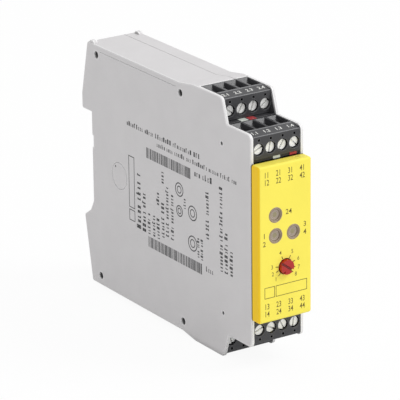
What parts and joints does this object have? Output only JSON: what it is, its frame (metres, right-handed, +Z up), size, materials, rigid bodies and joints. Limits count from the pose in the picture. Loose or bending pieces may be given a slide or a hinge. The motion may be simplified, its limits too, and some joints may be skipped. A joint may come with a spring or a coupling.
{
  "type": "safety relay",
  "caption": "Narrow rail-mounted safety relay: grey housing, yellow front cover, pluggable screw terminals, delay knob and sprung rail catch.",
  "frame": {"origin": "under the centre of the bounding box, at the lowest edge of the housing", "axes": "+Z up, -Y towards the yellow front cover, +Y towards the rail, X across the narrow width"},
  "size_m": [0.0226, 0.1192, 0.098],
  "materials": {
    "housing_grey": "fine matt moulding",
    "cover_yellow": "satin moulding",
    "knob_red": "satin moulding",
    "pot_black": "matt",
    "lens_clear": "clear moulding",
    "board_green": "solder resist",
    "terminal_grey": "matt moulding",
    "screw_steel": "zinc plated",
    "clamp_steel": "zinc plated",
    "contact_tin": "tin plated",
    "key_white": "matt moulding",
    "key_red": "matt moulding",
    "relay_case": "matt moulding",
    "core_steel": "laminated core and winding",
    "catch_plastic": "matt moulding",
    "spring_steel": "drawn wire"
  },
  "bodies": {
    "housing": {"housing_left_shell": "housing_grey", "housing_right_shell": "housing_grey", "front_cover": "cover_yellow", "light_pipe": "lens_clear", "potentiometer": "pot_black", "front_board": "board_green", "main_board": "board_green", "header_pins": "contact_tin", "coding_keys_white": "key_white", "coding_keys_red": "key_red", "relay_lower": "relay_case", "relay_upper": "relay_case", "transformer": "core_steel", "catch_spring": "spring_steel", "header_upper_front": "terminal_grey", "header_upper_rear": "terminal_grey", "header_lower_front": "terminal_grey", "header_lower_rear": "terminal_grey"},
    "knob": {"delay_knob": "knob_red"},
    "catch": {"rail_catch": "catch_plastic"},
    "plug_upper_front": {"plug_upper_front": "terminal_grey", "contacts_upper_front": "contact_tin"},
    "screw_upper_front_1": {"screw_upper_front_1": "screw_steel"},
    "clamp_upper_front_1": {"clamp_upper_front_1": "clamp_steel"},
    "screw_upper_front_2": {"screw_upper_front_2": "screw_steel"},
    "clamp_upper_front_2": {"clamp_upper_front_2": "clamp_steel"},
    "screw_upper_front_3": {"screw_upper_front_3": "screw_steel"},
    "clamp_upper_front_3": {"clamp_upper_front_3": "clamp_steel"},
    "screw_upper_front_4": {"screw_upper_front_4": "screw_steel"},
    "clamp_upper_front_4": {"clamp_upper_front_4": "clamp_steel"},
    "plug_upper_rear": {"plug_upper_rear": "terminal_grey", "contacts_upper_rear": "contact_tin"},
    "screw_upper_rear_1": {"screw_upper_rear_1": "screw_steel"},
    "clamp_upper_rear_1": {"clamp_upper_rear_1": "clamp_steel"},
    "screw_upper_rear_2": {"screw_upper_rear_2": "screw_steel"},
    "clamp_upper_rear_2": {"clamp_upper_rear_2": "clamp_steel"},
    "screw_upper_rear_3": {"screw_upper_rear_3": "screw_steel"},
    "clamp_upper_rear_3": {"clamp_upper_rear_3": "clamp_steel"},
    "screw_upper_rear_4": {"screw_upper_rear_4": "screw_steel"},
    "clamp_upper_rear_4": {"clamp_upper_rear_4": "clamp_steel"},
    "plug_lower_front": {"plug_lower_front": "terminal_grey", "contacts_lower_front": "contact_tin"},
    "screw_lower_front_1": {"screw_lower_front_1": "screw_steel"},
    "clamp_lower_front_1": {"clamp_lower_front_1": "clamp_steel"},
    "screw_lower_front_2": {"screw_lower_front_2": "screw_steel"},
    "clamp_lower_front_2": {"clamp_lower_front_2": "clamp_steel"},
    "screw_lower_front_3": {"screw_lower_front_3": "screw_steel"},
    "clamp_lower_front_3": {"clamp_lower_front_3": "clamp_steel"},
    "screw_lower_front_4": {"screw_lower_front_4": "screw_steel"},
    "clamp_lower_front_4": {"clamp_lower_front_4": "clamp_steel"},
    "plug_lower_rear": {"plug_lower_rear": "terminal_grey", "contacts_lower_rear": "contact_tin"},
    "screw_lower_rear_1": {"screw_lower_rear_1": "screw_steel"},
    "clamp_lower_rear_1": {"clamp_lower_rear_1": "clamp_steel"},
    "screw_lower_rear_2": {"screw_lower_rear_2": "screw_steel"},
    "clamp_lower_rear_2": {"clamp_lower_rear_2": "clamp_steel"},
    "screw_lower_rear_3": {"screw_lower_rear_3": "screw_steel"},
    "clamp_lower_rear_3": {"clamp_lower_rear_3": "clamp_steel"},
    "screw_lower_rear_4": {"screw_lower_rear_4": "screw_steel"},
    "clamp_lower_rear_4": {"clamp_lower_rear_4": "clamp_steel"}
  },
  "joints": [
    {"name": "knob_turn", "type": "hinge", "parent": "housing", "child": "knob", "pos_m": [0, -0.0581, 0.0396], "axis": [0, 1, 0], "range_deg": [-100, 180]},
    {"name": "catch_slide", "type": "slide", "parent": "housing", "child": "catch", "axis": [0, 0, -1], "range_m": [0, 0.003], "stiffness_N_per_m": 800, "springref_m": -0.004, "deforming": ["catch_spring"]},
    {"name": "plug_pull_upper_front", "type": "slide", "parent": "housing", "child": "plug_upper_front", "axis": [0, -1, 0], "range_m": [0, 0.01]},
    {"name": "turn_screw_upper_front_1", "type": "hinge", "parent": "plug_upper_front", "child": "screw_upper_front_1", "pos_m": [-0.0075, -0.0529, 0.0828], "axis": [0, 1, 0], "range_deg": [0, 1729]},
    {"name": "rise_clamp_upper_front_1", "type": "slide", "parent": "plug_upper_front", "child": "clamp_upper_front_1", "axis": [0, -1, 0], "range_m": [0, 0.0024]},
    {"name": "turn_screw_upper_front_2", "type": "hinge", "parent": "plug_upper_front", "child": "screw_upper_front_2", "pos_m": [-0.0025, -0.0529, 0.0828], "axis": [0, 1, 0], "range_deg": [0, 1729]},
    {"name": "rise_clamp_upper_front_2", "type": "slide", "parent": "plug_upper_front", "child": "clamp_upper_front_2", "axis": [0, -1, 0], "range_m": [0, 0.0024]},
    {"name": "turn_screw_upper_front_3", "type": "hinge", "parent": "plug_upper_front", "child": "screw_upper_front_3", "pos_m": [0.0025, -0.0529, 0.0828], "axis": [0, 1, 0], "range_deg": [0, 1729]},
    {"name": "rise_clamp_upper_front_3", "type": "slide", "parent": "plug_upper_front", "child": "clamp_upper_front_3", "axis": [0, -1, 0], "range_m": [0, 0.0024]},
    {"name": "turn_screw_upper_front_4", "type": "hinge", "parent": "plug_upper_front", "child": "screw_upper_front_4", "pos_m": [0.0075, -0.0529, 0.0828], "axis": [0, 1, 0], "range_deg": [0, 1729]},
    {"name": "rise_clamp_upper_front_4", "type": "slide", "parent": "plug_upper_front", "child": "clamp_upper_front_4", "axis": [0, -1, 0], "range_m": [0, 0.0024]},
    {"name": "plug_pull_upper_rear", "type": "slide", "parent": "housing", "child": "plug_upper_rear", "axis": [0, -1, 0], "range_m": [0, 0.01]},
    {"name": "turn_screw_upper_rear_1", "type": "hinge", "parent": "plug_upper_rear", "child": "screw_upper_rear_1", "pos_m": [-0.0075, -0.035, 0.0922], "axis": [0, 1, 0], "range_deg": [0, 1729]},
    {"name": "rise_clamp_upper_rear_1", "type": "slide", "parent": "plug_upper_rear", "child": "clamp_upper_rear_1", "axis": [0, -1, 0], "range_m": [0, 0.0024]},
    {"name": "turn_screw_upper_rear_2", "type": "hinge", "parent": "plug_upper_rear", "child": "screw_upper_rear_2", "pos_m": [-0.0025, -0.035, 0.0922], "axis": [0, 1, 0], "range_deg": [0, 1729]},
    {"name": "rise_clamp_upper_rear_2", "type": "slide", "parent": "plug_upper_rear", "child": "clamp_upper_rear_2", "axis": [0, -1, 0], "range_m": [0, 0.0024]},
    {"name": "turn_screw_upper_rear_3", "type": "hinge", "parent": "plug_upper_rear", "child": "screw_upper_rear_3", "pos_m": [0.0025, -0.035, 0.0922], "axis": [0, 1, 0], "range_deg": [0, 1729]},
    {"name": "rise_clamp_upper_rear_3", "type": "slide", "parent": "plug_upper_rear", "child": "clamp_upper_rear_3", "axis": [0, -1, 0], "range_m": [0, 0.0024]},
    {"name": "turn_screw_upper_rear_4", "type": "hinge", "parent": "plug_upper_rear", "child": "screw_upper_rear_4", "pos_m": [0.0075, -0.035, 0.0922], "axis": [0, 1, 0], "range_deg": [0, 1729]},
    {"name": "rise_clamp_upper_rear_4", "type": "slide", "parent": "plug_upper_rear", "child": "clamp_upper_rear_4", "axis": [0, -1, 0], "range_m": [0, 0.0024]},
    {"name": "plug_pull_lower_front", "type": "slide", "parent": "housing", "child": "plug_lower_front", "axis": [0, -1, 0], "range_m": [0, 0.01]},
    {"name": "turn_screw_lower_front_1", "type": "hinge", "parent": "plug_lower_front", "child": "screw_lower_front_1", "pos_m": [-0.0075, -0.0529, 0.0152], "axis": [0, 1, 0], "range_deg": [0, 1729]},
    {"name": "rise_clamp_lower_front_1", "type": "slide", "parent": "plug_lower_front", "child": "clamp_lower_front_1", "axis": [0, -1, 0], "range_m": [0, 0.0024]},
    {"name": "turn_screw_lower_front_2", "type": "hinge", "parent": "plug_lower_front", "child": "screw_lower_front_2", "pos_m": [-0.0025, -0.0529, 0.0152], "axis": [0, 1, 0], "range_deg": [0, 1729]},
    {"name": "rise_clamp_lower_front_2", "type": "slide", "parent": "plug_lower_front", "child": "clamp_lower_front_2", "axis": [0, -1, 0], "range_m": [0, 0.0024]},
    {"name": "turn_screw_lower_front_3", "type": "hinge", "parent": "plug_lower_front", "child": "screw_lower_front_3", "pos_m": [0.0025, -0.0529, 0.0152], "axis": [0, 1, 0], "range_deg": [0, 1729]},
    {"name": "rise_clamp_lower_front_3", "type": "slide", "parent": "plug_lower_front", "child": "clamp_lower_front_3", "axis": [0, -1, 0], "range_m": [0, 0.0024]},
    {"name": "turn_screw_lower_front_4", "type": "hinge", "parent": "plug_lower_front", "child": "screw_lower_front_4", "pos_m": [0.0075, -0.0529, 0.0152], "axis": [0, 1, 0], "range_deg": [0, 1729]},
    {"name": "rise_clamp_lower_front_4", "type": "slide", "parent": "plug_lower_front", "child": "clamp_lower_front_4", "axis": [0, -1, 0], "range_m": [0, 0.0024]},
    {"name": "plug_pull_lower_rear", "type": "slide", "parent": "housing", "child": "plug_lower_rear", "axis": [0, -1, 0], "range_m": [0, 0.01]},
    {"name": "turn_screw_lower_rear_1", "type": "hinge", "parent": "plug_lower_rear", "child": "screw_lower_rear_1", "pos_m": [-0.0075, -0.035, 0.0058], "axis": [0, 1, 0], "range_deg": [0, 1729]},
    {"name": "rise_clamp_lower_rear_1", "type": "slide", "parent": "plug_lower_rear", "child": "clamp_lower_rear_1", "axis": [0, -1, 0], "range_m": [0, 0.0024]},
    {"name": "turn_screw_lower_rear_2", "type": "hinge", "parent": "plug_lower_rear", "child": "screw_lower_rear_2", "pos_m": [-0.0025, -0.035, 0.0058], "axis": [0, 1, 0], "range_deg": [0, 1729]},
    {"name": "rise_clamp_lower_rear_2", "type": "slide", "parent": "plug_lower_rear", "child": "clamp_lower_rear_2", "axis": [0, -1, 0], "range_m": [0, 0.0024]},
    {"name": "turn_screw_lower_rear_3", "type": "hinge", "parent": "plug_lower_rear", "child": "screw_lower_rear_3", "pos_m": [0.0025, -0.035, 0.0058], "axis": [0, 1, 0], "range_deg": [0, 1729]},
    {"name": "rise_clamp_lower_rear_3", "type": "slide", "parent": "plug_lower_rear", "child": "clamp_lower_rear_3", "axis": [0, -1, 0], "range_m": [0, 0.0024]},
    {"name": "turn_screw_lower_rear_4", "type": "hinge", "parent": "plug_lower_rear", "child": "screw_lower_rear_4", "pos_m": [0.0075, -0.035, 0.0058], "axis": [0, 1, 0], "range_deg": [0, 1729]},
    {"name": "rise_clamp_lower_rear_4", "type": "slide", "parent": "plug_lower_rear", "child": "clamp_lower_rear_4", "axis": [0, -1, 0], "range_m": [0, 0.0024]}
  ],
  "couplings": [
    {"joint": "turn_screw_upper_front_1", "follows": "rise_clamp_upper_front_1", "rad_per_m": 12566},
    {"joint": "turn_screw_upper_front_2", "follows": "rise_clamp_upper_front_2", "rad_per_m": 12566},
    {"joint": "turn_screw_upper_front_3", "follows": "rise_clamp_upper_front_3", "rad_per_m": 12566},
    {"joint": "turn_screw_upper_front_4", "follows": "rise_clamp_upper_front_4", "rad_per_m": 12566},
    {"joint": "turn_screw_upper_rear_1", "follows": "rise_clamp_upper_rear_1", "rad_per_m": 12566},
    {"joint": "turn_screw_upper_rear_2", "follows": "rise_clamp_upper_rear_2", "rad_per_m": 12566},
    {"joint": "turn_screw_upper_rear_3", "follows": "rise_clamp_upper_rear_3", "rad_per_m": 12566},
    {"joint": "turn_screw_upper_rear_4", "follows": "rise_clamp_upper_rear_4", "rad_per_m": 12566},
    {"joint": "turn_screw_lower_front_1", "follows": "rise_clamp_lower_front_1", "rad_per_m": 12566},
    {"joint": "turn_screw_lower_front_2", "follows": "rise_clamp_lower_front_2", "rad_per_m": 12566},
    {"joint": "turn_screw_lower_front_3", "follows": "rise_clamp_lower_front_3", "rad_per_m": 12566},
    {"joint": "turn_screw_lower_front_4", "follows": "rise_clamp_lower_front_4", "rad_per_m": 12566},
    {"joint": "turn_screw_lower_rear_1", "follows": "rise_clamp_lower_rear_1", "rad_per_m": 12566},
    {"joint": "turn_screw_lower_rear_2", "follows": "rise_clamp_lower_rear_2", "rad_per_m": 12566},
    {"joint": "turn_screw_lower_rear_3", "follows": "rise_clamp_lower_rear_3", "rad_per_m": 12566},
    {"joint": "turn_screw_lower_rear_4", "follows": "rise_clamp_lower_rear_4", "rad_per_m": 12566}
  ]
}
